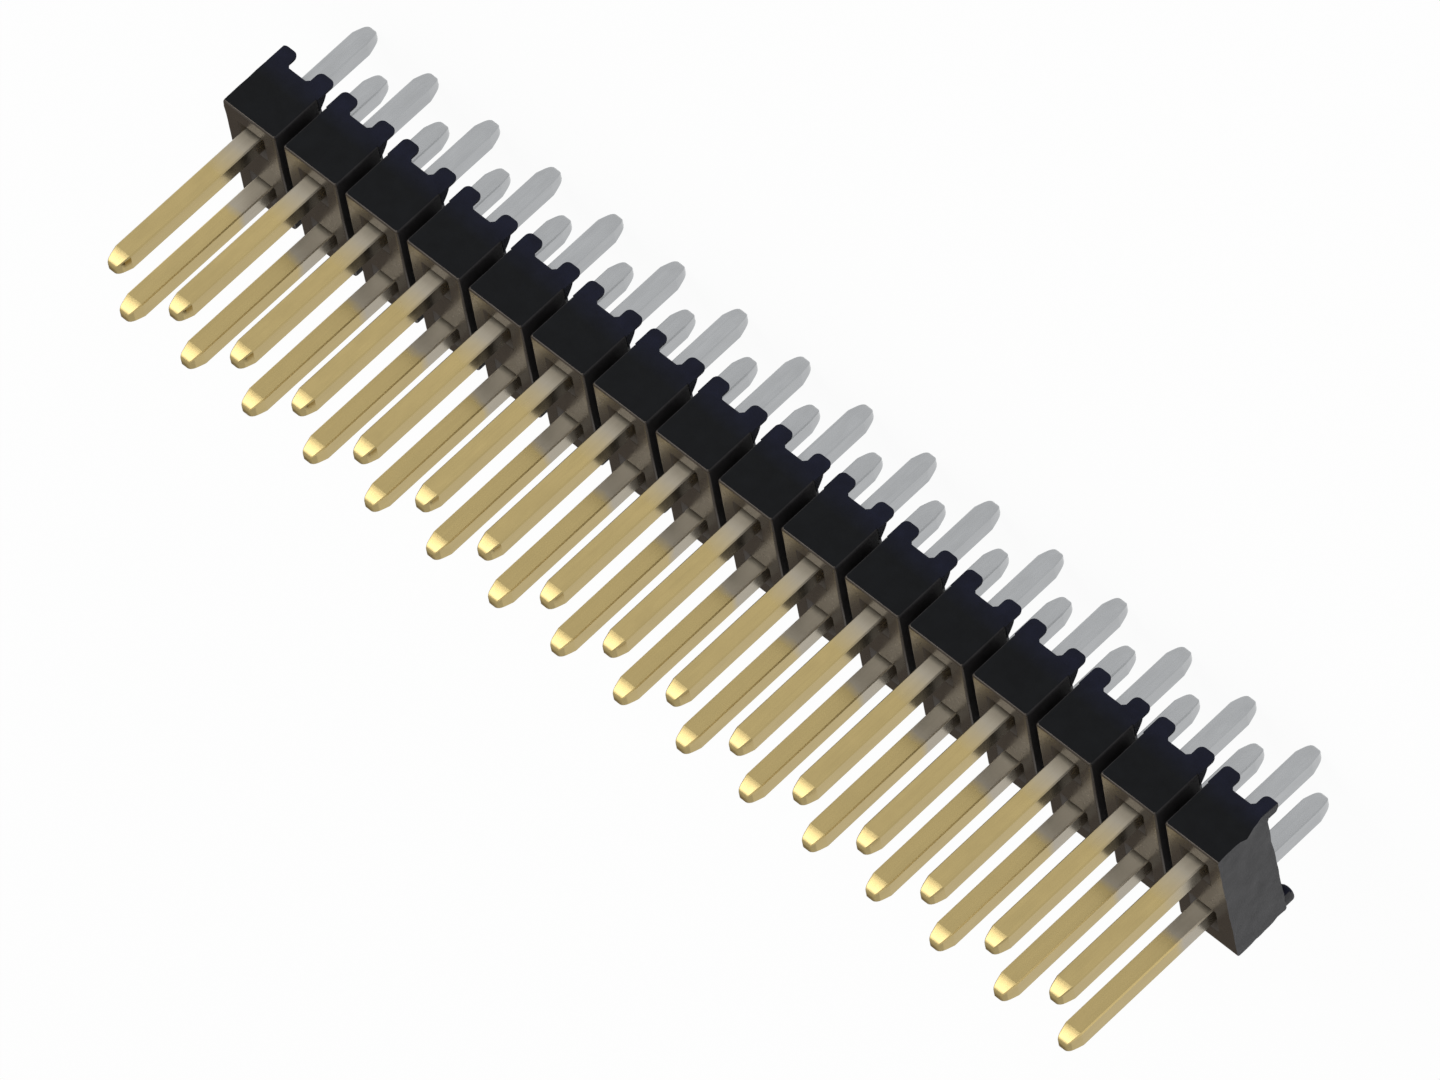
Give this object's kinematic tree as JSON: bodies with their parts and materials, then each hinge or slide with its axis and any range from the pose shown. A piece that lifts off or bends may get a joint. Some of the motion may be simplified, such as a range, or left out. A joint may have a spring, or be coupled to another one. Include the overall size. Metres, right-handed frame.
{
  "type": "pin header",
  "caption": "Straight pin header strip: square gold-tipped pins in two rows pass through a black notched housing that stands off the board on small half-round feet.",
  "frame": {"origin": "middle of the strip, between the two rows, on the plane of the feet's ends, which is the board's surface", "axes": "+X along the strip, +Y across the rows towards row a, +Z along the contact pins, away from the board"},
  "size_m": [0.0404, 0.0048, 0.0109],
  "materials": {
    "housing": "black glass-filled moulding, smooth on the contact side",
    "pins": "gold plating on the contact end, tin plating on the solder tail"
  },
  "bodies": {
    "root": {"housing": "housing", "pin_a01": "pins", "pin_a02": "pins", "pin_a03": "pins", "pin_a04": "pins", "pin_a05": "pins", "pin_a06": "pins", "pin_a07": "pins", "pin_a08": "pins", "pin_a09": "pins", "pin_a10": "pins", "pin_a11": "pins", "pin_a12": "pins", "pin_a13": "pins", "pin_a14": "pins", "pin_a15": "pins", "pin_a16": "pins", "pin_b01": "pins", "pin_b02": "pins", "pin_b03": "pins", "pin_b04": "pins", "pin_b05": "pins", "pin_b06": "pins", "pin_b07": "pins", "pin_b08": "pins", "pin_b09": "pins", "pin_b10": "pins", "pin_b11": "pins", "pin_b12": "pins", "pin_b13": "pins", "pin_b14": "pins", "pin_b15": "pins", "pin_b16": "pins"}
  },
  "joints": []
}
